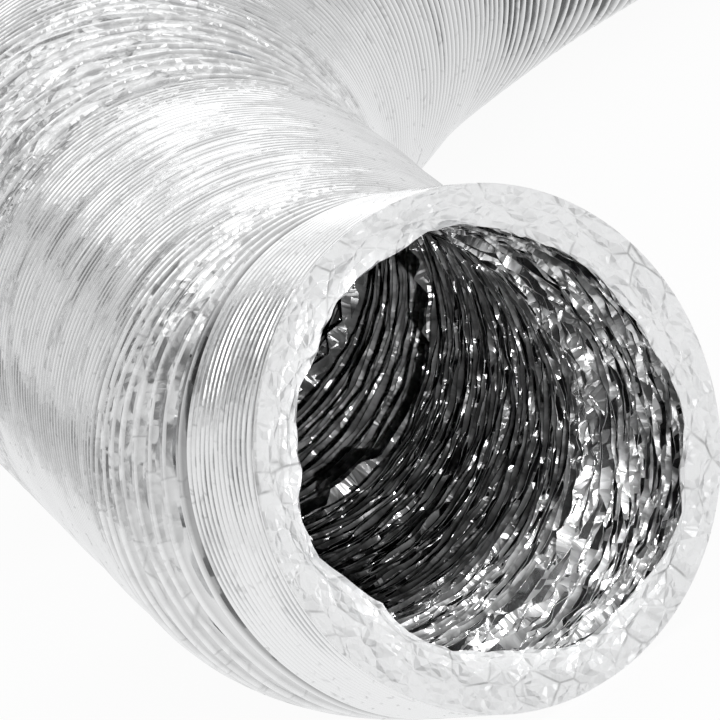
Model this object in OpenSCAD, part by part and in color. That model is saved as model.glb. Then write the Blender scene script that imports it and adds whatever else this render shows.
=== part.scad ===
// Flexible air duct: two plies of foil over a spring wire, lying in a hook on a flat surface.
// The mouth opens along +X with the origin at the centre of its bore, where the last turn of
// wire stands. The duct runs away from it as sixteen groups of turns, some pushed tight, some
// pulled open. Each group is an inner ply, the wire and an outer ply. Lengths are millimetres.

/* [Bore and wall] */
// Clear bore, for a spigot of the 150 mm size
bore_d = 151; // [140:0.5:165]
// Thickness of the inner ply
inner_ply = 0.4; // [0.3:0.1:0.8]
// Diameter of the spring wire
wire_d = 1.4; // [1:0.1:1.6]
// Slack between the wire and either ply
wire_slack = 0.3; // [0.25:0.05:0.5]
// Thickness of the outer ply between two ribs
outer_ply = 0.4; // [0.3:0.1:1]
// Height of a rib over the foil between ribs
rib_h = 1.6; // [1:0.1:2.4]
// Half the width of a rib's foot where the foil is pulled open
rib_foot = 3; // [1.5:0.5:3.5]
// Depth of the flat that the duct's own weight presses into its ribs
flat_depth = 0.5; // [0.3:0.1:0.8]

/* [Turns of wire in each group] */
// Turns in the mouth, which a spigot holds
mouth_turns = 5; // [4:1:10]
// Turns pushed tight behind it, which pull out
mouth_pleat_turns = 10; // [4:1:16]
// Turns in each of the two pulled-open groups behind the mouth
front_turns = 4; // [2:1:6]
// Turns in each third of the long straight leg
near_turns = 16; // [8:1:20]
// Turns in the straight group that is pulled right out
open_turns_a = 4; // [2:1:6]
// Turns in the curving group that is pulled right out
open_turns_b = 5; // [2:1:6]
// Turns in each third of the gently curving leg
far_turns = 16; // [10:1:20]
// Turns in each half of the tight bend
bend_turns = 11; // [8:1:14]
// Turns behind the bend, which pull out
tail_pleat_turns = 16; // [8:1:20]
// Turns in the tail end, which a spigot holds
tail_turns = 16; // [8:1:20]

/* [Distance from turn to turn] */
// Pitch in the mouth and right behind it
mouth_pitch = 2.95; // [2.5:0.05:4]
// Pitch in the front pleats
front_pitch = 8; // [7:0.5:14]
// Pitch in the straight leg
near_pitch = 5.5; // [3:0.25:7]
// Pitch in the foil that is pulled right out
open_pitch = 21; // [12:1:24]
// Pitch in the gently curving leg
far_pitch = 6.46; // [4:0.02:8]
// Pitch in the tight bend
bend_pitch = 6.9; // [6:0.1:10]
// Pitch behind the bend and in the tail end
tail_pitch = 5; // [3:0.25:7]

/* [Turning of the duct, to its right as it leaves the mouth] */
// Angle that the front pleats turn through
front_turn = 22; // [5:1:30]
// Angle that the curving groups behind it turn through
far_turn = 28; // [10:1:50]
// Angle that the tight bend turns through
bend_turn = 40; // [20:1:60]

/* [Hems] */
// Thickness of the folded foil at an end
hem_ply = 0.8; // [0.4:0.1:1.5]
// How far a hem stands out over the foil
hem_rise = 0.3; // [0.1:0.1:0.8]

/* [Hidden] */
GROUPS = ["mouth", "mouth_pleats", "front_pleats_a", "front_pleats_b", "near_leg_a",
    "near_leg_b", "near_leg_c", "open_pleats_a", "open_pleats_b", "far_leg_a", "far_leg_b",
    "far_leg_c", "bend_a", "bend_b", "tail_pleats", "tail"];

// sides of a rib where the duct bends, and of the true round parts
bent_sides = 18;
round_sides = 96;
// how far a straight stretch inside a bent outer ply may stand off the true curve
inside_bow = 0.12;
// how far the plies of a bent group stay short of each end of the group
seam = 0.02;
// how far a cut runs past what it cuts
cut_past = 1;

wire_r = wire_d / 2;
inner_r = bore_d / 2;
wire_orbit_r = inner_r + inner_ply + wire_slack + wire_r;
sleeve_r = wire_orbit_r + wire_r + wire_slack;
foil_r = sleeve_r + outer_ply;
rib_r = foil_r + rib_h;
floor_z = flat_depth - rib_r;

// the gentle curve is shared out by length
curve_length = open_turns_b * open_pitch + 3 * far_turns * far_pitch;
open_turn_b = far_turn * open_turns_b * open_pitch / curve_length;
leg_turn = (far_turn - open_turn_b) / 3;

// one entry a group: its turns, its pitch, the angle it turns through, and if it is pulled open
LAYOUT = [
    [mouth_turns, mouth_pitch, 0, false],
    [mouth_pleat_turns, mouth_pitch, 0, false],
    [front_turns, front_pitch, front_turn / 2, true],
    [front_turns, front_pitch, front_turn / 2, true],
    [near_turns, near_pitch, 0, false],
    [near_turns, near_pitch, 0, false],
    [near_turns, near_pitch, 0, false],
    [open_turns_a, open_pitch, 0, true],
    [open_turns_b, open_pitch, open_turn_b, true],
    [far_turns, far_pitch, leg_turn, false],
    [far_turns, far_pitch, leg_turn, false],
    [far_turns, far_pitch, leg_turn, false],
    [bend_turns, bend_pitch, bend_turn / 2, false],
    [bend_turns, bend_pitch, bend_turn / 2, false],
    [tail_pleat_turns, tail_pitch, 0, false],
    [tail_turns, tail_pitch, 0, false]];
TAIL = len(LAYOUT) - 1;

function turns(g) = LAYOUT[g][0];
function pitch(g) = LAYOUT[g][1];
function turn(g) = LAYOUT[g][2];
function is_open(g) = LAYOUT[g][3];
function length_of(g) = turns(g) * pitch(g);
// radius of the centre line of a group that bends
function centre_r(g) = length_of(g) / (turn(g) * PI / 180);

// a point of a group's centre line and its heading, s along it, in the group's own frame:
// it leaves the origin along +X and turns towards -Y
function along(g, s) = turn(g) == 0 ? [s, 0, 0] :
    let (a = turn(g) * s / length_of(g), r = centre_r(g)) [r * sin(a), r * (cos(a) - 1), 0];
function heading(g, s) = -turn(g) * s / length_of(g);

// where each group starts: x, y and heading, each group setting out where the last one ends
function place(g) = g == 0 ? [0, 0, 180] :
    let (p = place(g - 1), e = along(g - 1, length_of(g - 1)), c = cos(p[2]), s = sin(p[2]))
    [p[0] + c * e[0] - s * e[1], p[1] + s * e[0] + c * e[1], p[2] - turn(g - 1)];

// a ring round the bore, standing on its end
module plain_ring(outside_r, height) {
    difference() {
        cylinder(r = outside_r, h = height, $fn = round_sides);
        translate([0, 0, -cut_past])
            cylinder(r = inner_r, h = height + 2 * cut_past, $fn = round_sides);
    }
}

module in_group(g) {
    p = place(g);
    translate([p[0], p[1], 0])
        rotate([0, 0, p[2]])
            children();
}

// what it holds, drawn round +Z, is laid along the group's centre line at s
module at_turn(g, s) {
    translate(along(g, s))
        rotate([0, 0, heading(g, s)])
            rotate([0, 90, 0])
                children();
}

// the outline of the ribs along a group: distances along it, each with its radius
function rib_outline(g) = let (p = pitch(g), n = turns(g)) concat(
    [for (i = [0:n - 1]) each is_open(g) ?
        [[i * p, foil_r], [(i + 0.5) * p - rib_foot, foil_r],
         [(i + 0.5) * p, rib_r], [(i + 0.5) * p + rib_foot, foil_r]] :
        [[i * p, foil_r], [(i + 0.5) * p, rib_r]]],
    [[n * p, foil_r]]);

// straight ribs are turned about the centre line and pressed flat underneath
module straight_ribs(g) {
    outline = rib_outline(g);
    span = length_of(g);
    difference() {
        rotate([0, 90, 0])
            rotate_extrude($fn = round_sides)
                polygon(concat([[sleeve_r, 0]], [for (q = outline) [q[1], q[0]]], [[sleeve_r, span]]));
        translate([-cut_past, -rib_r, floor_z - 2 * rib_h])
            cube([span + 2 * cut_past, 2 * rib_r, 2 * rib_h]);
    }
}

// one ring of a bent group: its sides touch the true circle, one of them lies undermost,
// and none goes below the floor
function bent_ring(g, s, r) = let (c = along(g, s), h = heading(g, s), q = r / cos(180 / bent_sides))
    [for (k = [0:bent_sides - 1]) let (a = 270 + (k + 0.5) * 360 / bent_sides)
        [c[0] - q * cos(a) * sin(h), c[1] + q * cos(a) * cos(h), max(q * sin(a), floor_z)]];

// triangles between ring i and ring j, counted in rings
function band(i, j) = [for (k = [0:bent_sides - 1])
    let (a = i * bent_sides, b = j * bent_sides, n = (k + 1) % bent_sides)
        each [[a + k, b + k, a + n], [a + n, b + k, b + n]]];

// bent ribs are rings joined in order along the outside and back along the inside
module bent_ribs(g) {
    last = length_of(g) - seam;
    outside = [for (q = rib_outline(g)) [min(max(q[0], seam), last), q[1]]];
    step_turn = sqrt(8 * inside_bow / (centre_r(g) + sleeve_r)) * 180 / PI;
    steps = ceil(turn(g) / step_turn);
    inside = [for (i = [steps:-1:0]) [seam + i * (last - seam) / steps, sleeve_r]];
    loop = concat(outside, inside);
    points = [for (q = loop) each bent_ring(g, q[0], q[1])];
    faces = [for (i = [0:len(loop) - 1]) each band(i, (i + 1) % len(loop))];
    polyhedron(points, faces, convexity = 8);
}

module outer_ply(g) {
    color([0.86, 0.87, 0.88])
        in_group(g)
            if (turn(g) == 0)
                straight_ribs(g);
            else
                bent_ribs(g);
}

// the inner ply is a plain round tube from end to end of a group, straight or bent
module inner_ply(g) {
    seam_turn = turn(g) * seam / length_of(g);
    color([0.7, 0.71, 0.72])
        in_group(g)
            if (turn(g) == 0)
                rotate([0, 90, 0])
                    plain_ring(inner_r + inner_ply, length_of(g));
            else
                translate([0, -centre_r(g), 0])
                    rotate([0, 0, 90 - turn(g) + seam_turn])
                        rotate_extrude(angle = turn(g) - 2 * seam_turn, $fn = 4 * round_sides)
                            translate([centre_r(g), 0])
                                difference() {
                                    circle(r = inner_r + inner_ply, $fn = round_sides);
                                    circle(r = inner_r, $fn = round_sides);
                                }
}

// half a turn of straight wire, tilted so that its ends lie half a pitch apart
module half_turn(g) {
    lean = atan(pitch(g) / (4 * wire_orbit_r));
    rotate([0, -lean, 0])
        rotate_extrude(angle = 180, $fn = round_sides)
            translate([wire_orbit_r / cos(lean), 0])
                circle(r = wire_r, $fn = 16);
}

// in a straight group the wire is one helix from the middle of its first turn to the middle
// of its last one; where the turns are bent or pulled apart each is drawn as a level ring
module wire(g) {
    p = pitch(g);
    color([0.45, 0.46, 0.48])
        in_group(g)
            if (turn(g) == 0 && !is_open(g))
                rotate([0, 90, 0])
                    for (i = [0:2 * turns(g) - 3])
                        translate([0, 0, (0.75 + i / 2) * p])
                            rotate([0, 0, i * 180])
                                half_turn(g);
            else
                for (i = [0:turns(g) - 1])
                    at_turn(g, (i + 0.5) * p)
                        rotate_extrude($fn = round_sides)
                            translate([wire_orbit_r, 0])
                                circle(r = wire_r, $fn = 16);
}

// a hem is the foil's end, folded over the cut edges of both plies
module hem() {
    color([0.93, 0.93, 0.94])
        rotate([0, 90, 0])
            plain_ring(foil_r + hem_rise, hem_ply);
}

module mouth_hem() {
    hem();
}

module tail_hem() {
    in_group(TAIL)
        translate([length_of(TAIL), 0, 0])
            hem();
}

mouth_hem();
tail_hem();
for (g = [0:TAIL]) {
    outer_ply(g);
    wire(g);
    inner_ply(g);
}

// the least gap between neighbouring turns of the helix, measured on points of two turns
function helix_point(g, a) = [pitch(g) * a / 360, wire_orbit_r * cos(a), wire_orbit_r * sin(a)];
function helix_gap(g) = min([for (a = [0:15:345]) for (b = [300:15:720])
    if (b - a >= 300) norm(helix_point(g, a) - helix_point(g, b)) - wire_d]);
// the least gap between neighbouring turns in a bend lies on its inner side
function ring_gap(g) = turn(g) == 0 ? pitch(g) - wire_d :
    pitch(g) * (1 - wire_orbit_r / centre_r(g)) - wire_d;
echo(least_gap_between_turns = [for (g = [0:TAIL])
    turn(g) == 0 && !is_open(g) ? helix_gap(g) : ring_gap(g)]);
echo(starts = [for (g = [0:TAIL]) place(g)], tail_end = place(TAIL)[1] + length_of(TAIL));
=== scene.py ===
"""Dresses the frame of a flexible air duct: crumpled foil over a spring wire, and its studio."""

import math
from typing import NamedTuple

import bpy
import numpy as np
from mathutils import Matrix, Vector


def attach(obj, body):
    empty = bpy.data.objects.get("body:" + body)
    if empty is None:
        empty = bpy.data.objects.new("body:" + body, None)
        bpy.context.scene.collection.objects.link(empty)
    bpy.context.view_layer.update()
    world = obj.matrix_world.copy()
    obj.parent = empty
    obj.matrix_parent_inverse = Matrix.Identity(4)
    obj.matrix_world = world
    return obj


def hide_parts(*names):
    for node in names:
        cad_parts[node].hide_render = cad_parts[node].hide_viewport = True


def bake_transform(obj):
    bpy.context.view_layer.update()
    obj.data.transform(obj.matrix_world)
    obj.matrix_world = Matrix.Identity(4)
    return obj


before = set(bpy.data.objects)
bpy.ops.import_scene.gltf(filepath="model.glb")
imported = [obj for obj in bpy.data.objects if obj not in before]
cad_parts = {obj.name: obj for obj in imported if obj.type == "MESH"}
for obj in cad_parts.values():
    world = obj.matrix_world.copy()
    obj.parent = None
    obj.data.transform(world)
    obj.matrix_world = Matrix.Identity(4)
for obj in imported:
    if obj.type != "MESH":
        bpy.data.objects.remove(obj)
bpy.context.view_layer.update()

bl_info = {
    "name": "Flexible Air Duct",
    "version": (1, 0, 0),
    "blender": (4, 5, 0),
    "location": "View3D > Sidebar > Duct",
    "description": "Foil, wire and studio of a flexible air duct on its frame",
    "category": "Add Mesh",
}

MM = 0.001
ROUND = 2 * math.pi

# ------------------------------------------------------------------ layout

GROUPS = (
    "mouth", "mouth_pleats", "front_pleats_a", "front_pleats_b", "near_leg_a", "near_leg_b",
    "near_leg_c", "open_pleats_a", "open_pleats_b", "far_leg_a", "far_leg_b", "far_leg_c",
    "bend_a", "bend_b", "tail_pleats", "tail",
)
TAIL = len(GROUPS) - 1
# turns of wire in each group, and millimetres from turn to turn
TURNS = (5, 10, 4, 4, 16, 16, 16, 4, 5, 16, 16, 16, 11, 11, 16, 16)
PITCH = (2.95, 2.95, 8, 8, 5.5, 5.5, 5.5, 21, 21, 6.46, 6.46, 6.46, 6.9, 6.9, 5, 5)
# degrees that the front pleats, the gentle curve and the tight bend turn through: two groups
# share the first and the last by halves, and four groups share the curve by their length
FRONT_TURN, CURVE_TURN, BEND_TURN = 22, 28, 40
CURVE = range(GROUPS.index("open_pleats_b"), GROUPS.index("bend_a"))
CURVE_LENGTH = sum(TURNS[g] * PITCH[g] for g in CURVE)
TURNING = (
    0, 0, FRONT_TURN / 2, FRONT_TURN / 2, 0, 0, 0, 0,
    *(CURVE_TURN * TURNS[g] * PITCH[g] / CURVE_LENGTH for g in CURVE),
    BEND_TURN / 2, BEND_TURN / 2, 0, 0,
)

MOST_COLUMNS = 480
LEG_COLUMNS = 200


class Piece(NamedTuple):
    """One piece of foil, with the wire in it."""

    name: str
    groups: tuple
    # it lies between two bodies with its joint over one group, or rides on one body that is named
    # twice
    body_a: str
    body_b: str
    over: int
    backwards: bool
    columns: int


PIECES = (
    Piece("mouth", (0,), "mouth", "mouth", 0, False, MOST_COLUMNS),
    Piece("mouth_pleats", (1,), "front_a", "mouth", 1, True, MOST_COLUMNS),
    Piece("front_pleats", (2,), "front_b", "front_a", 2, True, MOST_COLUMNS),
    Piece("near_leg_a", (3, 4), "near", "front_b", 3, True, LEG_COLUMNS + 36),
    Piece("near_leg_b", (5,), "near", "near", 5, False, LEG_COLUMNS + 100),
    Piece("near_leg_c", (6, 7), "near", "open", 7, False, LEG_COLUMNS + 20),
    Piece("far_leg_a", (8, 9), "open", "far", 8, False, LEG_COLUMNS + 20),
    Piece("far_leg_b", (10,), "far", "far", 10, False, LEG_COLUMNS),
    Piece("far_leg_c", (11, 12), "far", "bend_a", 12, False, LEG_COLUMNS),
    Piece("bend", (13,), "bend_a", "bend_b", 13, False, LEG_COLUMNS),
    Piece("tail", (14, 15), "bend_b", "tail", 14, False, LEG_COLUMNS),
)

# ------------------------------------------------------------------ how foil folds


class Row(NamedTuple):
    """One row of foil round the duct: at is in metres, the next three fields in millimetres."""

    at: float  # distance past the rib before it
    drop: float  # how far it lies below the top of a rib
    radial: float  # how far it crumples in and out
    along: float  # how far it crumples along the duct
    dark: float  # share of painted fold shade in its colour outside, 0 to 1
    dim: float  # and inside


class Look(NamedTuple):
    """How foil looks where the ribs stand at one kind of distance."""

    rough: float  # share of the crumple that a rib has
    dark: float  # painted shade at a rib's foot
    side: float  # and on its shoulder
    root: float  # painted shade of a rib inside, where it is the bottom of a fold
    deep: float = 0  # painted shade of a fold's depth outside
    dim: float = 0  # painted shade of its flanks inside
    sway: float = 0  # millimetres that its flanks crumple in and out


TIGHT = Look(rough=0.35, dark=0.4, side=0.05, root=0.6, deep=0.5, dim=0.2, sway=1.1)
SNUG = Look(rough=0.35, dark=0.7, side=0.25, root=1.0, deep=0.6, dim=0.8, sway=0.5)
LOOSE = Look(rough=1.0, dark=0.35, side=0.05, root=1.0)
PULLED_OUT = Look(rough=1.0, dark=0.35, side=0.05, root=0.2)
# each look holds for ribs that stand closer than this
REACH = ((4 * MM, TIGHT), (7.5 * MM, SNUG), (14 * MM, LOOSE), (math.inf, PULLED_OUT))
PULLED_OUT_FROM = REACH[2][0]

# a rib's shoulder and foot: half its width there and how far below its top, in millimetres
SHOULDER, SHOULDER_DROP = 0.62, 0.42
FOOT, FOOT_DROP = 1.05, 1.35
# where ribs stand close they are narrower: the most of the way to the next rib that either takes
SHOULDER_MOST, FOOT_MOST = 0.2, 0.34
# millimetres that a rough rib crumples in and out at its top, shoulder and foot, and along
TOP_RADIAL, SHOULDER_RADIAL, FOOT_RADIAL, FOOT_ALONG = 0.02, 0.04, 0.12, 0.03
# painted shade of the foil's cut ends, and of the slope from there to the first and the last rib
END_PAINTED_SHADE, END_SLOPE_PAINTED_SHADE = 0.3, 0.05
# the drop at which foil has left the wire, and that of the foil's cut end
GRIP_DROP, END_DROP = 1.3, 0.9
# the part of its width that foil takes up in a fold
FOLD_USED = 0.93
# a deep fold that is drawn coarse has one row: its way to the next rib, how far it crumples in
# and out, and the share of the slack that it crumples along
COARSE_WAY, COARSE_RADIAL, COARSE_ALONG = 0.47, 2.2, 0.9
# one that is drawn fine has five: the entry, a flank, the bottom, the other flank and the entry
FINE_WAY = (0.4, 0.45, 0.5, 0.55, 0.6)
# the entry's share of the depth and of the slack, and how much more painted shade it has inside
ENTRY_SHARE, ENTRY_PAINTED_SHADE = 0.5, 0.2
# how far a flank stays above the bottom, and how both crumple along: share of slack, and more
FLANK_RISE, TIP_SLACK, TIP_MORE = 0.9, 1.3, 0.25
# folds of the loose and of the pulled-out foil: share of the way to the next rib, then a row
LOOSE_FOLD = (
    (0.3, 2.4, 0.7, 0.5, 0.2, 0.8), (0.4, 4.6, 1.4, 0.8, 0.3, 0.6),
    (0.47, 7.4, 2.2, 1.0, 0.5, 0.4), (0.5, 8.6, 2.6, 1.0, 0.6, 0),
    (0.53, 7.4, 2.2, 1.0, 0.5, 0.4), (0.6, 4.6, 1.4, 0.8, 0.3, 0.6),
    (0.7, 2.4, 0.7, 0.5, 0.2, 0.8),
)
PULLED_OUT_WAY = (0.12, 0.22, 0.31, 0.41, 0.5, 0.59, 0.69, 0.78, 0.88)
PULLED_OUT_SAG, PULLED_OUT_RADIAL, PULLED_OUT_ALONG = 2.3, 0.55, 0.8
# folds are drawn in full as far as they can be seen into: this many turns of the far leg
FINE_GROUP, FINE_TURNS = GROUPS.index("far_leg_a"), 8

# seed of the wall's crumples, and how much bigger facets are that crumple along the duct
WALL_SEED, ALONG_SIZE = 11, 1.3
# facets go round the duct at least this often, and their corners move by this share of one
FEWEST_FACETS, UNEVEN = 8, 0.35
# a wave's least and most for its length along the duct, most waves round it, and last phase
WAVES_ALONG, WAVES_ROUND, LAST_PHASE = (0.4, 1.6), 8, 6.283
# how crumples and ribs wander: shares of the pitch, of a fold's depth and of the depth itself
WANDER, LEAN, DEEPEN = 0.11, 0.12, 0.06
# no fold leans as if it were deeper than this, and ribs stand true this near to an end
LEANING_DEPTH, TRUE_END = 12 * MM, 6 * MM
# how far foil stands back from the ribs' circle, and pulled-out foil between its rows of painted
# shade inside
STAND_BACK, RIDGE = 0.35 * MM, 3 * MM
# radii in metres at which facets are counted: the bore, the torn edge and the lip's middle
BORE_R, TORN_R, LIP_R = 0.075, 0.063, 0.068
# radius of the cylinder on which the foil's own coordinates are wound, in metres
COORDS_R = 0.077
# foil is slack enough to crumple outside from this pitch on, in millimetres
SLACK_FROM, SLACK_OVER, SLACK_CREASE = 6.5, 3, 0.3
WIRE_COLUMNS, WIRE_SIDES, WIRE_BELOW = 60, 6, 0.5 * MM

# ------------------------------------------------------------------ how a lip is torn

# rows from the rim to the torn edge: share of the lip's reach, and millimetres of crumple
LIP_SHARE = (0.0, 0.05, 0.14, 0.26, 0.4, 0.55, 0.7, 0.84, 0.94, 1.0)
LIP_CRUMPLE = (0, 0.1, 0.35, 0.7, 1.0, 1.2, 1.35, 1.5, 1.6, 1.7)
# facets of the torn edge and of the lip, fine and coarse: their size and their share
TORN_FINE, TORN_COARSE, TORN_SHARE = 5 * MM, 17 * MM, 0.8
LIP_FINE, LIP_COARSE, LIP_SHARES = 7 * MM, 22 * MM, (0.6, 0.5)
# where the lip lies: inside the ribs' circle, behind and past the end, and leaning back
LIP_INSET, LIP_EDGE_DROP, LIP_END_DROP, LIP_BACK_DROP = 0.1 * MM, 0.25 * MM, 0.35 * MM, 0.6 * MM
LIP_BEHIND, LIP_PAST, LIP_CORNER = 1.6 * MM, 0.3 * MM, 0.95 * MM
LIP_FRONT, LIP_LEAN, LIP_THICK = 1.1 * MM, 1.2 * MM, 0.25 * MM

# ------------------------------------------------------------------ how foil is patterned

# scale and detail of the noise that hazes the foil, and of the noise that shades patches inside
HAZE_NOISE, PATCH_NOISE = (60.0, 2.0), (140.0, 1.0)
# between which values of its noise a crease takes painted shade, and a patch turns dark
CREASED, PATCHED = (0.5, 0.64), (0.45, 0.58)
# the finer set of cells: how much finer, and its share of the height
FINER_CELLS, FINER_SHARE = 2.6, 0.25
# height of a cell's roof and width of its crease of painted shade, both as shares of a cell
ROOF_HEIGHT, CREASE_WIDTH = 0.34, 0.05
# how much rougher haze and lacquer make the foil, and half of the haze, which is taken off
HAZE_ROUGH, LACQUER_ROUGH, HAZE_MIDDLE = 0.16, 0.3, 0.08
WIRE_ROUGH = 0.35

# ------------------------------------------------------------------ studio

FLOOR_HALF, FLOOR_ROUGH = 12.0, 0.9
SENSOR, NEAR_CLIP, FAR_CLIP = 36, 0.1, 100
# scale and detail of the cloths' noise, between which values a gap opens, and between which
# values of its direction the side of the gaps begins; elsewhere gaps are this share as dark
CLOTH_NOISE, CLOTH_GAP, GAP_SIDE, GAP_ELSEWHERE = (3.0, 1.0), (0.46, 0.58), (0.5, 0.75), 0.3
# softboxes and spots: name, place, what they look at, and size or share of the spots' power
SOFTBOXES = {
    "softbox": ("top_softbox", (-0.8, 0.7, 2.2), (-0.4, 0.2, 0), 2.4),
    "fill": ("mouth_softbox", (1.92, -0.3, 1.57), (-0.05, 0, 0), 0.8),
}
SPOTS = (("tunnel_spot", (2.7, -1.26, 0.3), 0.6), ("mouth_spot", (2.1, -0.5, 1.6), 1.6))
MOUTH_MIDDLE = (0, -0.005, 0)
SPOT_BLEND, SPOT_SOFTNESS = 0.3, 0.012


class DuctSizes(bpy.types.PropertyGroup):
    turns: bpy.props.IntVectorProperty(
        name="Turns", size=len(GROUPS), default=TURNS,
        description="Turns of wire in each group, from the mouth")
    pitch: bpy.props.FloatVectorProperty(
        name="Pitch", size=len(GROUPS), default=PITCH,
        description="Distance from turn to turn in each group, in millimetres")
    turning: bpy.props.FloatVectorProperty(
        name="Turning", size=len(GROUPS), default=TURNING,
        description="Angle that each group turns through to the right, in degrees")
    rib_radius: bpy.props.FloatProperty(
        name="Rib radius", default=79.8 * MM, unit="LENGTH",
        description="From the centre line to the top of a rib")
    floor_drop: bpy.props.FloatProperty(
        name="Floor below the centre line", default=79.4 * MM, unit="LENGTH",
        description="Where the duct's own weight presses its ribs flat")
    wire_radius: bpy.props.FloatProperty(
        name="Wire radius", default=0.6 * MM, unit="LENGTH",
        description="Half the thickness of the spring wire")
    foil: bpy.props.FloatProperty(
        name="Foil", default=0.22 * MM, unit="LENGTH",
        description="Thickness of both plies of foil away from the wire")
    fold: bpy.props.FloatProperty(
        name="Foil between two turns", default=24 * MM, unit="LENGTH",
        description="Width of foil between two turns when the duct is pulled right out")
    crumple: bpy.props.FloatProperty(
        name="Crumple", default=6 * MM, unit="LENGTH",
        description="Size of a flat facet in the crumpled foil")
    lip: bpy.props.FloatVectorProperty(
        name="Mouth lip", size=32,
        default=(12.8, 12.8, 14.8, 15.3, 14.0, 15.6, 13.4, 13.9, 13.8, 12.2, 12.2, 14.0, 15.3, 15.7,
                 15.5, 15.9, 15.0, 12.6, 11.8, 13.5, 12.2, 13.2, 15.3, 14.8, 14.4, 16.6, 18.6, 18.7,
                 18.2, 18.3, 21.3, 18.3),
        description="How far the foil tail at the mouth folds in, in millimetres, at even steps")
    tear: bpy.props.FloatProperty(
        name="Tear", default=0.7 * MM, unit="LENGTH",
        description="How far the torn edge of the lip wanders")
    tail_lip: bpy.props.FloatProperty(
        name="Tail lip", default=7 * MM, unit="LENGTH",
        description="How far the foil tail at the far end folds in")


class DuctColours(bpy.types.PropertyGroup):
    foil: bpy.props.FloatVectorProperty(
        name="Foil", subtype="COLOR", size=3, default=(0.88, 0.885, 0.89),
        description="Aluminium foil")
    roughness: bpy.props.FloatProperty(
        name="Foil roughness", default=0.2, min=0, max=1, subtype="FACTOR",
        description="Blur of what the foil mirrors")
    # painted shade: in folds the foil's colour is darkened to this share of itself
    fold_shade: bpy.props.FloatProperty(
        name="Light in a fold", default=0.2, min=0, max=1, subtype="FACTOR",
        description="Share of its light that foil keeps in a fold, where it mirrors itself")
    inner_dull: bpy.props.FloatProperty(
        name="Dullness inside", default=0.35, min=0, max=1, subtype="FACTOR",
        description="How much the lacquer on the inner side scatters")
    wire: bpy.props.FloatVectorProperty(
        name="Wire", subtype="COLOR", size=3, default=(0.45, 0.46, 0.48),
        description="Drawn spring wire")
    floor: bpy.props.FloatVectorProperty(
        name="Floor", subtype="COLOR", size=3, default=(0.93, 0.93, 0.93),
        description="Pale studio floor")


class DuctStage(bpy.types.PropertyGroup):
    camera_at: bpy.props.FloatVectorProperty(
        name="Camera", size=3, default=(5.12428, -2.59291, 1.1859), subtype="TRANSLATION",
        description="Where the camera stands")
    heading: bpy.props.FloatProperty(
        name="Heading", default=math.radians(153.384), unit="ROTATION",
        description="Direction of view on the floor, from +X")
    dip: bpy.props.FloatProperty(
        name="Dip", default=math.radians(11.2664), unit="ROTATION",
        description="How far the camera looks down")
    roll: bpy.props.FloatProperty(
        name="Roll", default=math.radians(-26.7589), unit="ROTATION",
        description="How far the camera is rolled")
    lens: bpy.props.FloatProperty(
        name="Lens", default=980, subtype="DISTANCE_CAMERA",
        description="Focal length on a 36 mm wide sensor, in millimetres")
    tent: bpy.props.FloatProperty(
        name="Light tent", default=0.95,
        description="Brightness of the white tent that the foil mirrors")
    gap: bpy.props.FloatProperty(
        name="Gaps in the tent", default=0.2,
        description="Brightness of the gaps between the tent's white cloths")
    gap_side: bpy.props.FloatVectorProperty(
        name="Side of the gaps", size=3, default=(-0.55, -0.15, 0.9),
        description="Direction in which the cloths hang apart")
    floor_white: bpy.props.FloatProperty(
        name="White of the floor", default=0.95, min=0, max=1, subtype="FACTOR",
        description="Share of plain white in the floor as it is seen and mirrored")
    softbox: bpy.props.FloatProperty(
        name="Softbox", default=14, unit="POWER",
        description="Power of the softbox overhead")
    spot: bpy.props.FloatProperty(
        name="Spot", default=360, unit="POWER",
        description="Power that the spots shining into the mouth take their shares of")
    spot_angle: bpy.props.FloatProperty(
        name="Spot angle", default=math.radians(2.2), unit="ROTATION",
        description="Width of a spot's cone, which just fills the mouth")
    fill: bpy.props.FloatProperty(
        name="Fill", default=4, unit="POWER",
        description="Power of the softbox that looks into the mouth")


# ------------------------------------------------------------------ the duct's path


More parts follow.
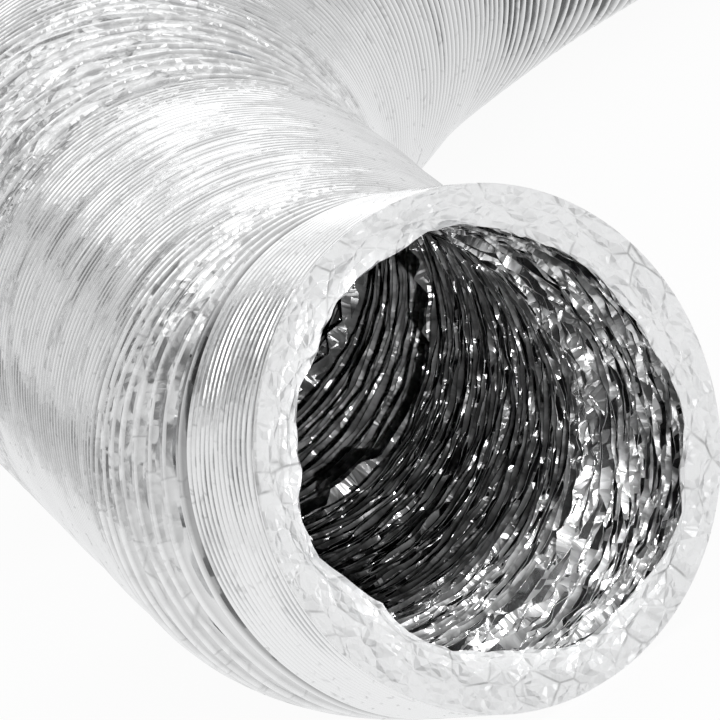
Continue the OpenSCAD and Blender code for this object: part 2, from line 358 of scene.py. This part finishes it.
class Path:
    """The centre line: each group is a straight or an arc that leaves the last one in line."""

    def __init__(self, sizes):
        self.turns = np.array(sizes.turns[:])
        self.pitch = np.array(sizes.pitch[:]) * MM
        self.turning = np.radians(np.array(sizes.turning[:]))
        self.length = self.turns * self.pitch
        self.start = np.r_[0, np.cumsum(self.length)]
        self.heading = math.pi - np.r_[0, np.cumsum(self.turning)]
        x, y = [0.0], [0.0]
        for g in range(len(self.turns)):
            next_x, next_y = self._in_group(g, self.length[g], x[g], y[g])
            x.append(next_x)
            y.append(next_y)
        self.x, self.y = np.array(x), np.array(y)

    def _in_group(self, g, s, x, y):
        """A straight goes s along its heading; an arc goes round its centre by s over its radius."""
        heading, turning = self.heading[g], self.turning[g]
        if turning == 0:
            return x + s * math.cos(heading), y + s * math.sin(heading)
        radius = self.length[g] / turning
        past = heading - s / radius
        return (x + radius * (np.sin(heading) - np.sin(past)),
                y - radius * (np.cos(heading) - np.cos(past)))

    def s_of(self, place):
        """Distance from the mouth of a place: a group, and the share of it that lies before."""
        g, share = place
        return self.start[g] + share * self.length[g]

    def at(self, s):
        """x, y and heading at distances s; before the mouth and past the tail it runs straight on."""
        s = np.asarray(s, float)
        g = np.clip(np.searchsorted(self.start, s, side="right") - 1, 0, len(self.turns) - 1)
        x, y, heading = np.empty_like(s), np.empty_like(s), np.empty_like(s)
        for k in range(len(self.turns)):
            here = g == k
            if here.any():
                far = s[here] - self.start[k]
                within = np.clip(far, 0, self.length[k])
                group_x, group_y = self._in_group(k, within, self.x[k], self.y[k])
                bearing = self.heading[k] - self.turning[k] * within / self.length[k]
                x[here] = group_x + (far - within) * np.cos(bearing)
                y[here] = group_y + (far - within) * np.sin(bearing)
                heading[here] = bearing
        return x, y, heading

    def point(self, place):
        """The centre line's point at a place."""
        x, y, _ = self.at(np.array([self.s_of(place)]))
        return float(x[0]), float(y[0]), 0.0

    def ribs(self):
        """Where the ribs stand, in the middle of each pitch."""
        return np.concatenate([
            self.start[g] + (np.arange(self.turns[g]) + 0.5) * self.pitch[g]
            for g in range(len(self.turns))])


def lay(path, s, angle, radius, floor):
    """Rings round the centre line: at distance s, angle and radius, none below the floor."""
    x, y, heading = (v.reshape(s.shape) for v in path.at(s.ravel()))
    across = radius * np.cos(angle)
    z = np.maximum(radius * np.sin(angle), -floor)
    return np.stack([x - across * np.sin(heading), y + across * np.cos(heading), z], -1)


def angles_round(columns):
    """Even steps once round the duct."""
    return np.linspace(0, ROUND, columns + 1)[:-1]


def nearest_columns(angles):
    """Which of the most columns lies nearest to each angle."""
    return np.round(angles / ROUND * MOST_COLUMNS).astype(int) % MOST_COLUMNS


# ------------------------------------------------------------------ crumpled foil


def facets(rng, rows, angles, size, radius):
    """A broken line for each row: random heights in -1 to 1 at uneven spots, straight between."""
    count = max(FEWEST_FACETS, int(ROUND * radius / size))
    out = np.empty((rows, len(angles)))
    step = ROUND / count
    for k in range(rows):
        spots = np.arange(count) + rng.uniform(-UNEVEN, UNEVEN, count) + rng.uniform(0, 1)
        spots = spots * step
        out[k] = np.interp(angles, spots % ROUND, rng.uniform(-1, 1, count), period=ROUND)
    return out


def swell(rng, s, angle, waves, length):
    """A smooth field: waves of random direction and phase along s and round the duct, added up."""
    out = np.zeros(np.broadcast(s, angle).shape)
    for _ in range(waves):
        k = rng.uniform(*WAVES_ALONG) / length
        m = rng.integers(1, WAVES_ROUND + 1)
        out += np.sin(ROUND * k * s + m * angle * rng.choice([-1, 1]) + rng.uniform(0, LAST_PHASE))
    return out / math.sqrt(waves)


def snug_fold(width, foot, deep, look, fine):
    """A deep fold between close ribs: its bottom alone, or two rows down each flank as well."""
    slack, low = (width / 2 - foot) / MM, deep / MM
    if not fine:
        return [Row(COARSE_WAY * width, low, COARSE_RADIAL, COARSE_ALONG * slack, look.deep, 0)]
    tip = TIP_SLACK * slack + TIP_MORE
    entry = (ENTRY_SHARE * low, look.sway, ENTRY_SHARE * slack, look.deep, look.dim + ENTRY_PAINTED_SHADE)
    flank = (low - FLANK_RISE, look.sway, tip, look.deep, look.dim)
    bottom = (low, look.sway, tip, look.deep, 0)
    down_and_up = (entry, flank, bottom, flank, entry)
    return [Row(way * width, *rest) for way, rest in zip(FINE_WAY, down_and_up)]


def rows_between(width, fold, fine):
    """Rows of one fold of foil, from the top of a rib to just before the next one.

    Where ribs stand close the foil's width stays nearly the same, so the tighter the turns the
    deeper it folds: half the width, half the foil and the depth make a right triangle."""
    look = next(look for most, look in REACH if width < most)
    shoulder = min(SHOULDER * MM, SHOULDER_MOST * width)
    foot = min(FOOT * MM, FOOT_MOST * width)
    deep = FOLD_USED * math.sqrt(max((fold / 2) ** 2 - (width / 2) ** 2, 0))
    rib = [
        Row(0, 0, TOP_RADIAL * look.rough, 0, 0, look.root),
        Row(shoulder, SHOULDER_DROP, SHOULDER_RADIAL * look.rough, 0, look.side, look.root),
        Row(foot, FOOT_DROP, FOOT_RADIAL * look.rough, FOOT_ALONG, look.dark, look.root)]
    if look in (TIGHT, SNUG):
        inner = snug_fold(width, foot, deep, look, fine)
    elif look is LOOSE:
        inner = [Row(way * width, *rest) for way, *rest in LOOSE_FOLD]
    else:
        # inside, every second row is painted in full shade, and the rows between stand in as small
        # ridges
        inner = [
            Row(way * width, FOOT_DROP + PULLED_OUT_SAG * math.sin(math.pi * way),
                PULLED_OUT_RADIAL, PULLED_OUT_ALONG, 0, k % 2)
            for k, way in enumerate(PULLED_OUT_WAY)]
    return rib + inner + [row._replace(at=width - row.at) for row in rib[:0:-1]]


class Wall:
    """Rows of the whole duct's foil, made once, so that two pieces agree where they meet."""

    def __init__(self, sizes, path):
        self.path, self.sizes = path, sizes
        ribs = path.ribs()
        end = path.start[-1]
        rows = self._rows(ribs, end, path.start[FINE_GROUP] + FINE_TURNS * path.pitch[FINE_GROUP])
        # the last two fields are painted shade, outside and inside
        self.s, self.drop, self.radial, self.along, self.dark, self.dim = np.array(rows).T
        # how far each row still lies on its wire
        self.rib = np.maximum(0.0, 1 - self.drop / GRIP_DROP)
        for field in (self.drop, self.radial, self.along):
            field *= MM
        # how far each row lies along the foil when its folds are drawn out flat
        self.flat = np.r_[0, np.cumsum(np.hypot(np.diff(self.s), np.diff(self.drop)))]
        rng = np.random.default_rng(WALL_SEED)
        full = angles_round(MOST_COLUMNS)
        count, size = len(self.s), sizes.crumple
        self.rough_r = facets(rng, count, full, size, BORE_R)
        self.rough_s = facets(rng, count, full, size * ALONG_SIZE, BORE_R)
        s, angle = self.s[:, None], full[None, :]
        self.drift = swell(rng, s, angle, waves=9, length=0.05)
        self.deepen = swell(rng, s, angle, waves=9, length=0.03)
        self.bulge = swell(rng, s, angle, waves=7, length=0.12)
        self.lean = swell(rng, s, angle, waves=9, length=0.04)
        self.local = np.interp(self.s, path.start[:-1] + path.length / 2, path.pitch)

    def _rows(self, ribs, end, fine_to):
        """Rows from end to end, each with its distance from the mouth in place of its rib."""
        first, last = ribs[0], ribs[-1]
        cut = Row(0, END_DROP, 0, 0, END_PAINTED_SHADE, END_PAINTED_SHADE)
        slope = Row(0, SHOULDER_DROP, TOP_RADIAL, 0, END_SLOPE_PAINTED_SHADE, END_PAINTED_SHADE)
        rows = [cut, slope._replace(at=first * 0.5)]
        for rib, following in zip(ribs[:-1], ribs[1:]):
            fold = rows_between(following - rib, self.sizes.fold, rib < fine_to)
            rows += [row._replace(at=rib + row.at) for row in fold]
        rows.append(Row(last, 0, 0, 0, 0, END_PAINTED_SHADE))
        rows.append(slope._replace(at=last + (end - last) * 0.5))
        rows.append(cut._replace(at=last + (end - last)))
        return rows

    def part(self, groups):
        """The first and the last row of a run of groups."""
        a, b = self.path.s_of((groups[0], 0.0)), self.path.s_of((groups[-1], 1.0))
        return int(np.argmin(np.abs(self.s - a))), int(np.argmin(np.abs(self.s - b)))

    def rings(self, i, j, columns, inside):
        """Distance, angle and radius of each point of rows i to j, on the foil's one side.

        A point stands at its row's distance and depth, moved by its facet along the duct and in
        and out, with its rib's drift, its fold's lean and a slow change of depth added."""
        angles = angles_round(columns)
        pick = nearest_columns(angles)
        part = slice(i, j + 1)

        def column(field):
            return field[part, None]

        def spread(field):
            return field[part][:, pick]

        drop, rib, local = column(self.drop), column(self.rib), column(self.local)
        end = self.path.start[-1]
        edge = np.clip(np.minimum(self.s[part], end - self.s[part]) / TRUE_END, 0, 1)[:, None]
        s = column(self.s) + column(self.along) * spread(self.rough_s)
        s = s + edge * WANDER * local * spread(self.drift)
        s = s + edge * LEAN * np.minimum(drop, LEANING_DEPTH) * spread(self.lean)
        depth = drop * (1 + DEEPEN * spread(self.deepen) * (rib == 0))
        r = self.sizes.rib_radius - depth + column(self.radial) * spread(self.rough_r)
        r = r - STAND_BACK * (1 + spread(self.bulge) * edge) * 0.5
        if inside:
            held = 2 * self.sizes.wire_radius + self.sizes.foil
            r = r - self.sizes.foil - held * rib
            r = r - RIDGE * (1 - column(self.dim)) * (local > PULLED_OUT_FROM)
        return s, np.broadcast_to(angles, s.shape), r


def grid_faces(rows, columns, first=0, flip=False):
    """Four-sided faces of a grid that closes round its columns."""
    i, k = np.meshgrid(np.arange(rows - 1), np.arange(columns), indexing="ij")
    n = (k + 1) % columns
    a, b = first + i * columns + k, first + i * columns + n
    c, d = first + (i + 1) * columns + n, first + (i + 1) * columns + k
    quads = np.stack([a, b, c, d] if not flip else [a, d, c, b], -1)
    return quads.reshape(-1, 4)


def joining_faces(columns, row_a, row_b):
    """Four-sided faces between two rows, each given by its first point."""
    k = np.arange(columns)
    n = (k + 1) % columns
    return np.stack([row_a + k, row_a + n, row_b + n, row_b + k], -1)


def new_mesh(name, verts, quads, coords, shade, inner, sharp, material):
    """A mesh from whole arrays, with the foil's own coordinates and values kept on its points."""
    mesh = bpy.data.meshes.new(name)
    mesh.vertices.add(len(verts))
    mesh.vertices.foreach_set("co", verts.astype(np.float32).ravel())
    mesh.loops.add(quads.size)
    mesh.loops.foreach_set("vertex_index", quads.astype(np.int32).ravel())
    mesh.polygons.add(len(quads))
    mesh.polygons.foreach_set("loop_start", np.arange(0, quads.size, 4, dtype=np.int32))
    mesh.update(calc_edges=True)
    mesh.validate()
    layer = mesh.attributes.new("foil", "FLOAT_VECTOR", "POINT")
    layer.data.foreach_set("vector", coords.astype(np.float32).ravel())
    # the fold values are painted shade, which darkens the foil's colour
    for key, values in (("fold", shade), ("inner", inner)):
        layer = mesh.attributes.new(key, "FLOAT", "POINT")
        layer.data.foreach_set("value", values.astype(np.float32).ravel())
    mesh.shade_smooth()
    mesh.set_sharp_from_angle(angle=math.radians(sharp))
    mesh.materials.append(material)
    obj = bpy.data.objects.new(name, mesh)
    bpy.context.scene.collection.objects.link(obj)
    return obj


def foil_piece(wall, piece, material):
    """Rows of ribs and folds round the centre line, outside and inside, joined at both ends."""
    columns = piece.columns
    i, j = wall.part(piece.groups)
    rows = j - i + 1
    parts, coords, shade = [], [], []
    for inside in (False, True):
        s, angle, r = wall.rings(i, j, columns, inside)
        parts.append(lay(wall.path, s, angle, r, wall.sizes.floor_drop).reshape(-1, 3))
        flat = np.stack([np.broadcast_to(wall.flat[i:j + 1, None], s.shape),
                         COORDS_R * np.cos(angle), COORDS_R * np.sin(angle)], -1)
        coords.append(flat.reshape(-1, 3))
        # painted shade of each row, outside and inside
        shade.append((wall.dim if inside else wall.dark)[i:j + 1, None] + 0 * s)
    count = rows * columns
    top, low = (rows - 1) * columns, count + (rows - 1) * columns
    quads = np.vstack([
        grid_faces(rows, columns, flip=True),
        grid_faces(rows, columns, count),
        joining_faces(columns, 0, count),
        joining_faces(columns, top, low)[:, [1, 0, 3, 2]]])
    # pulled-out foil is slack, so it crumples outside too
    slack = np.clip((wall.local[i:j + 1] / MM - SLACK_FROM) / SLACK_OVER, 0, 1) * SLACK_CREASE
    inner = np.r_[np.repeat(slack, columns), np.ones(count)]
    obj = new_mesh("foil_" + piece.name, np.vstack(parts), quads, np.vstack(coords),
                   np.vstack(shade), inner, 20, material)
    plies = [ply + GROUPS[g] for g in piece.groups for ply in ("outer_ply_", "inner_ply_")]
    finish_piece(wall.path, obj, piece, plies)


def wire_piece(wall, piece, material):
    """A round wire under each rib: a ring swept round the centre line, which drifts with its rib."""
    i, j = wall.part(piece.groups)
    tops = [k for k in range(i, j + 1) if wall.drop[k] == 0 and wall.rib[k] == 1]
    sizes = wall.sizes
    angle = angles_round(WIRE_COLUMNS)
    pick = nearest_columns(angle)
    turn = angles_round(WIRE_SIDES)[:, None]
    orbit = sizes.rib_radius - sizes.foil - sizes.wire_radius - WIRE_BELOW
    ring = WIRE_SIDES * WIRE_COLUMNS
    verts, quads = [], []
    for count, k in enumerate(tops):
        drift = WANDER * wall.local[k] * wall.drift[k][pick]
        s = wall.s[k] + drift[None, :] + sizes.wire_radius * np.cos(turn) + 0 * angle[None, :]
        r = orbit + sizes.wire_radius * np.sin(turn) + 0 * angle[None, :]
        spread = np.broadcast_to(angle, s.shape)
        points = lay(wall.path, s, spread, r, sizes.floor_drop - sizes.foil)
        verts.append(points.reshape(-1, 3))
        first = count * ring
        quads.append(grid_faces(WIRE_SIDES, WIRE_COLUMNS, first))
        quads.append(joining_faces(WIRE_COLUMNS, first + ring - WIRE_COLUMNS, first))
    verts = np.vstack(verts)
    plain = 0 * verts[:, 0]
    obj = new_mesh("wire_" + piece.name, verts, np.vstack(quads), verts, plain, plain, 60, material)
    finish_piece(wall.path, obj, piece, ["wire_" + GROUPS[g] for g in piece.groups])


def finish_piece(path, obj, piece, nodes):
    """Rides a piece on its one body or bakes it in place between two, and hides the parts that it
    stands for.
    """
    start, end = path.point((piece.over, 0.0)), path.point((piece.over, 1.0))
    if piece.backwards:
        start, end = end, start
    if piece.body_a == piece.body_b:
        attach(obj, piece.body_a)
    else:
        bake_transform(obj)
    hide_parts(*nodes)


def lip_piece(wall, body, place, outward, widths, material, seed):
    """The foil's tail: it wraps the last rib, crosses the end and stops at a torn edge.

    Rows go from the outside, round the end, over to the torn edge and back behind it. The torn
    edge is the lip's reach with a broken line added, and the lip's face is a second one."""
    rng = np.random.default_rng(seed)
    path, sizes = wall.path, wall.sizes
    columns = MOST_COLUMNS
    angle = angles_round(columns)
    end = path.s_of(place)
    torn = (facets(rng, 1, angle, TORN_FINE, TORN_R)[0]
            + TORN_SHARE * facets(rng, 1, angle, TORN_COARSE, TORN_R)[0])
    spots = np.arange(len(widths)) * 2 * math.pi / len(widths)
    reach = np.interp(angle, spots, widths, period=ROUND) * MM + sizes.tear * torn
    share = np.array(LIP_SHARE)[:, None]
    crumple = np.array(LIP_CRUMPLE)[:, None] * MM
    fine = facets(rng, len(share), angle, LIP_FINE, LIP_R)
    coarse = facets(rng, len(share), angle, LIP_COARSE, LIP_R)
    rim = sizes.rib_radius - LIP_INSET
    top = rim - share * reach[None, :]
    broken = LIP_SHARES[0] * fine + LIP_SHARES[1] * coarse
    front = outward * (LIP_FRONT - LIP_LEAN * share + crumple * broken)
    front[0] = outward * LIP_CORNER
    drop = np.zeros((len(share), 1))
    drop[0] = LIP_EDGE_DROP

    def level(value):
        return np.full((1, columns), value)

    behind = level(end - outward * LIP_BEHIND)
    s = np.vstack([behind, level(end + outward * LIP_PAST), end + front,
                   end + front[:0:-1] - outward * LIP_THICK, behind])
    r = np.vstack([level(rim - LIP_END_DROP), level(rim), top - drop,
                   top[:0:-1], level(rim - LIP_BACK_DROP)])
    spread = np.broadcast_to(angle, s.shape)
    verts = lay(path, s, spread, r, sizes.floor_drop).reshape(-1, 3)
    close = joining_faces(columns, (len(s) - 1) * columns, 0)
    quads = np.vstack([grid_faces(len(s), columns, flip=outward > 0),
                       close if outward < 0 else close[:, ::-1]])
    coords = np.stack([r, r * np.cos(spread), r * np.sin(spread)], -1).reshape(-1, 3)
    obj = new_mesh("lip_" + body, verts, quads, coords, 0 * r, 1 + 0 * r, 22, material)
    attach(obj, body)
    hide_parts(body + "_hem")


# ------------------------------------------------------------------ materials


class Sock:
    """A node socket that maths is written with: + - * and named nodes make the node tree."""

    def __init__(self, tree, value=None):
        self.tree, self.value = tree, value

    def _math(self, kind, a, b):
        return self.node("ShaderNodeMath", 0, {0: a, 1: b}, operation=kind)

    def __add__(self, other):
        return self._math("ADD", self, other)

    __radd__ = __add__

    def __mul__(self, other):
        return self._math("MULTIPLY", self, other)

    __rmul__ = __mul__

    def __sub__(self, other):
        return self._math("SUBTRACT", self, other)

    def __rsub__(self, other):
        return self._math("SUBTRACT", other, self)

    def node(self, kind, output, inputs=None, **settings):
        """Any other node: its inputs by name or number, its settings by name."""
        node = self.tree.nodes.new(kind)
        for key, value in settings.items():
            setattr(node, key, value)
        for key, value in (inputs or {}).items():
            if isinstance(value, Sock):
                self.tree.links.new(value.value, node.inputs[key])
            else:
                node.inputs[key].default_value = value
        return Sock(self.tree, node.outputs[output])

    def ramp(self, low, high, start, end):
        """Runs straight from start to end while this value goes from low to high."""
        return self.node("ShaderNodeMapRange", "Result", {
            "Value": self, "From Min": low, "From Max": high, "To Min": start, "To Max": end})

    def into(self, socket):
        self.tree.links.new(self.value, socket)


def new_material(name):
    material = bpy.data.materials.new(name)
    material.use_nodes = True
    tree = material.node_tree
    return material, tree, tree.nodes["Principled BSDF"]


def foil_material(name, colours, haze_by, crinkle, cells, crease_painted_shade, patchy):
    """Bright metal, creased into flat facets, finer and deeper on the inside of the duct.

    The distance to the edge of a cell makes a roof of flat sides over each cell, so its bump reads as
    crumpled foil. Two sizes of cell are added up. Painted shade darkens the colour in the folds and
    along some of the sharpest creases, and some patches inside are as dark as a fold."""
    material, tree, shader = new_material(name)
    start = Sock(tree)
    coords = start.node("ShaderNodeAttribute", "Vector", attribute_name="foil")
    # the fold attribute is painted shade: how far the colour goes to the shaded foil
    fold = start.node("ShaderNodeAttribute", "Fac", attribute_name="fold")
    inner = start.node("ShaderNodeAttribute", "Fac", attribute_name="inner")

    def roof(scale):
        return start.node("ShaderNodeTexVoronoi", "Distance", {"Vector": coords, "Scale": scale},
                          feature="DISTANCE_TO_EDGE")

    def noise(scale, detail):
        return start.node("ShaderNodeTexNoise", "Fac",
                          {"Vector": coords, "Scale": scale, "Detail": detail})

    haze = noise(*HAZE_NOISE)
    big = roof(cells)
    height = (big + roof(cells * FINER_CELLS) * FINER_SHARE) * (inner * (1.0 - crinkle) + crinkle)
    normal = start.node("ShaderNodeBump", "Normal",
                        {"Height": height, "Strength": 1.0, "Distance": ROOF_HEIGHT / cells})
    # painted shade along the sharpest creases, where the haze allows
    sharp = big.ramp(0.0, CREASE_WIDTH, crease_painted_shade, 0.0)
    some = haze.ramp(*CREASED, 0.0, 1.0)
    patch = noise(*PATCH_NOISE).ramp(*PATCHED, 0.0, patchy)
    rough = haze * HAZE_ROUGH + inner * colours.inner_dull * LACQUER_ROUGH
    rough = rough + (colours.roughness + haze_by - HAZE_MIDDLE)
    metal = 1.0 - inner * colours.inner_dull
    # the foil's colour darkened by painted shade, for folds and creases
    painted_shade_colour = [share * colours.fold_shade for share in colours.foil]
    colour = start.node("ShaderNodeMix", 2, {
        0: fold + (sharp * some + inner * patch) * (1.0 - fold),
        6: (*colours.foil, 1), 7: (*painted_shade_colour, 1)}, data_type="RGBA")
    colour.into(shader.inputs["Base Color"])
    metal.into(shader.inputs["Metallic"])
    rough.into(shader.inputs["Roughness"])
    normal.into(shader.inputs["Normal"])
    return material


def duct_foil(name, colours):
    return foil_material(
        name, colours, haze_by=0, crinkle=0.06, cells=95.0, crease_painted_shade=0.3, patchy=0.7)


def lip_foil(name, colours):
    return foil_material(
        name, colours, haze_by=0.06, crinkle=1.0, cells=85.0, crease_painted_shade=0.6, patchy=0.0)


def spring_wire(name, colours):
    """Drawn steel."""
    material, _, shader = new_material(name)
    shader.inputs["Base Color"].default_value = (*colours.wire, 1)
    shader.inputs["Metallic"].default_value = 1.0
    shader.inputs["Roughness"].default_value = WIRE_ROUGH
    return material


def made(make):
    """A material, made at the first call and named for what makes it."""
    name = make.__name__
    return bpy.data.materials.get(name) or make(name, bpy.context.scene.duct_colours)


# ------------------------------------------------------------------ builders

_wall = []


def the_wall():
    """The rows of the whole duct, made at the first call."""
    if not _wall:
        sizes = bpy.context.scene.duct_sizes
        _wall.append(Wall(sizes, Path(sizes)))
    return _wall[0]


def build(*names):
    """The foil and the wire of the pieces named."""
    for piece in PIECES:
        if piece.name in names:
            foil_piece(the_wall(), piece, made(duct_foil))
            wire_piece(the_wall(), piece, made(spring_wire))


def build_floor(stage, colours, sizes):
    """A wide square under the duct, which is white where it is seen or mirrored."""
    mesh = bpy.data.meshes.new("floor")
    far, z = FLOOR_HALF, -sizes.floor_drop
    corners = [(-far, -far, z), (far, -far, z), (far, far, z), (-far, far, z)]
    mesh.from_pydata(corners, [], [(0, 1, 2, 3)])
    floor = bpy.data.objects.new("floor", mesh)
    bpy.context.scene.collection.objects.link(floor)
    material, tree, shader = new_material("floor")
    shader.inputs["Base Color"].default_value = (*colours.floor, 1)
    shader.inputs["Roughness"].default_value = FLOOR_ROUGH
    start = Sock(tree)
    seen = start.node("ShaderNodeLightPath", "Is Camera Ray")
    mirrored = start.node("ShaderNodeLightPath", "Is Glossy Ray")
    white = start.node("ShaderNodeEmission", 0, {"Color": (1, 1, 1, 1), "Strength": 1.0})
    mix = start.node("ShaderNodeMixShader", 0, {
        0: (seen + mirrored) * stage.floor_white, 1: Sock(tree, shader.outputs[0]), 2: white})
    mix.into(tree.nodes["Material Output"].inputs[0])
    mesh.materials.append(material)


def build_tent(stage):
    """A white tent of cloths, mirrored in the foil, with darker gaps mostly on one side."""
    world = bpy.data.worlds.new("studio")
    bpy.context.scene.world = world
    world.use_nodes = True
    tree = world.node_tree
    start = Sock(tree)
    seen = start.node("ShaderNodeLightPath", "Is Camera Ray")
    way = start.node("ShaderNodeTexCoord", "Generated")
    scale, detail = CLOTH_NOISE
    cloth = start.node("ShaderNodeTexNoise", "Fac",
                       {"Vector": way, "Scale": scale, "Detail": detail})
    gaps = cloth.ramp(*CLOTH_GAP, 1.0 - stage.gap, 0.0)
    side = start.node("ShaderNodeVectorMath", "Value", {0: way, 1: stage.gap_side[:]},
                      operation="DOT_PRODUCT")
    lobe = side.ramp(*GAP_SIDE, 0.0, 1.0)
    dark = (lobe * (1 - GAP_ELSEWHERE) + GAP_ELSEWHERE) * gaps
    bright = seen + (1.0 - seen) * stage.tent * (1.0 - dark)
    background = tree.nodes["Background"]
    background.inputs["Color"].default_value = (1, 1, 1, 1)
    bright.into(background.inputs["Strength"])


def place_light(name, kind, at, target, power, **settings):
    """A light of one kind that looks from its place at a target."""
    light = bpy.data.lights.new(name, kind)
    light.energy = power
    for key, value in settings.items():
        setattr(light, key, value)
    obj = bpy.data.objects.new(name, light)
    obj.location = at
    obj.rotation_euler = (Vector(target) - Vector(at)).to_track_quat("-Z", "Y").to_euler()
    bpy.context.scene.collection.objects.link(obj)


def build_lights(stage):
    for key, (name, at, target, size) in SOFTBOXES.items():
        place_light(name, "AREA", at, target, getattr(stage, key),
                    shape="RECTANGLE", size=size, size_y=size)
    for name, at, share in SPOTS:
        place_light(name, "SPOT", at, MOUTH_MIDDLE, stage.spot * share,
                    spot_size=stage.spot_angle, spot_blend=SPOT_BLEND,
                    shadow_soft_size=SPOT_SOFTNESS)


def build_camera(stage):
    """A long lens that looks down into the mouth, rolled about its own line of sight."""
    heading, dip = stage.heading, stage.dip
    forward = Vector((math.cos(heading) * math.cos(dip), math.sin(heading) * math.cos(dip),
                      -math.sin(dip)))
    level = Vector((math.sin(heading), -math.cos(heading), 0))
    above = level.cross(forward)
    c, s = math.cos(stage.roll), math.sin(stage.roll)
    right, up = level * c + above * s, above * c - level * s
    camera = bpy.data.cameras.new("camera")
    camera.lens, camera.sensor_width = stage.lens, SENSOR
    camera.clip_start, camera.clip_end = NEAR_CLIP, FAR_CLIP
    obj = bpy.data.objects.new("camera", camera)
    rows = [(right[k], up[k], -forward[k], stage.camera_at[k]) for k in range(3)]
    obj.matrix_world = Matrix((*rows, (0, 0, 0, 1)))
    bpy.context.scene.collection.objects.link(obj)
    bpy.context.scene.camera = obj


# ------------------------------------------------------------------ operators


class DUCT_OT_front(bpy.types.Operator):
    """Build the foil and wire of the mouth and the front pleats"""

    bl_idname = "duct.front"
    bl_label = "Mouth And Front Pleats"

    def execute(self, context):
        build("mouth", "mouth_pleats", "front_pleats")
        return {"FINISHED"}


class DUCT_OT_legs(bpy.types.Operator):
    """Build the foil and wire of both legs and of the pulled-out stretch"""

    bl_idname = "duct.legs"
    bl_label = "Legs"

    def execute(self, context):
        build("near_leg_a", "near_leg_b", "near_leg_c", "far_leg_a", "far_leg_b", "far_leg_c")
        return {"FINISHED"}


class DUCT_OT_bend(bpy.types.Operator):
    """Build the foil and wire of the end of the bend and of the tail"""

    bl_idname = "duct.bend"
    bl_label = "Bend And Tail"

    def execute(self, context):
        build("bend", "tail")
        return {"FINISHED"}


class DUCT_OT_hems(bpy.types.Operator):
    """Build the torn foil tails that fold in at both ends"""

    bl_idname = "duct.hems"
    bl_label = "Hems"

    def execute(self, context):
        sizes = context.scene.duct_sizes
        foil = made(lip_foil)
        lip_piece(the_wall(), "mouth", (0, 0.0), -1, sizes.lip[:], foil, seed=5)
        lip_piece(the_wall(), "tail", (TAIL, 1.0), 1, [sizes.tail_lip / MM], foil, seed=6)
        return {"FINISHED"}


class DUCT_OT_studio(bpy.types.Operator):
    """Set up the floor, the lights and the camera"""

    bl_idname = "duct.studio"
    bl_label = "Studio"

    def execute(self, context):
        scene = context.scene
        build_floor(scene.duct_stage, scene.duct_colours, scene.duct_sizes)
        build_tent(scene.duct_stage)
        build_lights(scene.duct_stage)
        build_camera(scene.duct_stage)
        scene.view_settings.view_transform = "Standard"
        return {"FINISHED"}


class DUCT_PT_panel(bpy.types.Panel):
    """Sizes, colours and builders of the duct"""

    bl_label = "Flexible Air Duct"
    bl_idname = "DUCT_PT_panel"
    bl_space_type = "VIEW_3D"
    bl_region_type = "UI"
    bl_category = "Duct"

    def draw(self, context):
        scene = context.scene
        for group in (scene.duct_sizes, scene.duct_colours, scene.duct_stage):
            for key in group.bl_rna.properties.keys():
                if key not in ("rna_type", "name"):
                    self.layout.prop(group, key)
        for name in ("front", "legs", "bend", "hems", "studio"):
            self.layout.operator("duct." + name)


CLASSES = (
    DuctSizes, DuctColours, DuctStage, DUCT_OT_front, DUCT_OT_legs, DUCT_OT_bend,
    DUCT_OT_hems, DUCT_OT_studio, DUCT_PT_panel,
)


def register():
    for c in CLASSES:
        bpy.utils.register_class(c)
    bpy.types.Scene.duct_sizes = bpy.props.PointerProperty(type=DuctSizes)
    bpy.types.Scene.duct_colours = bpy.props.PointerProperty(type=DuctColours)
    bpy.types.Scene.duct_stage = bpy.props.PointerProperty(type=DuctStage)


def unregister():
    del bpy.types.Scene.duct_sizes
    del bpy.types.Scene.duct_colours
    del bpy.types.Scene.duct_stage
    for c in reversed(CLASSES):
        bpy.utils.unregister_class(c)


def main():
    register()
    bpy.ops.duct.front()
    bpy.ops.duct.legs()
    bpy.ops.duct.bend()
    bpy.ops.duct.hems()
    bpy.ops.duct.studio()


if __name__ == "__main__":
    main()
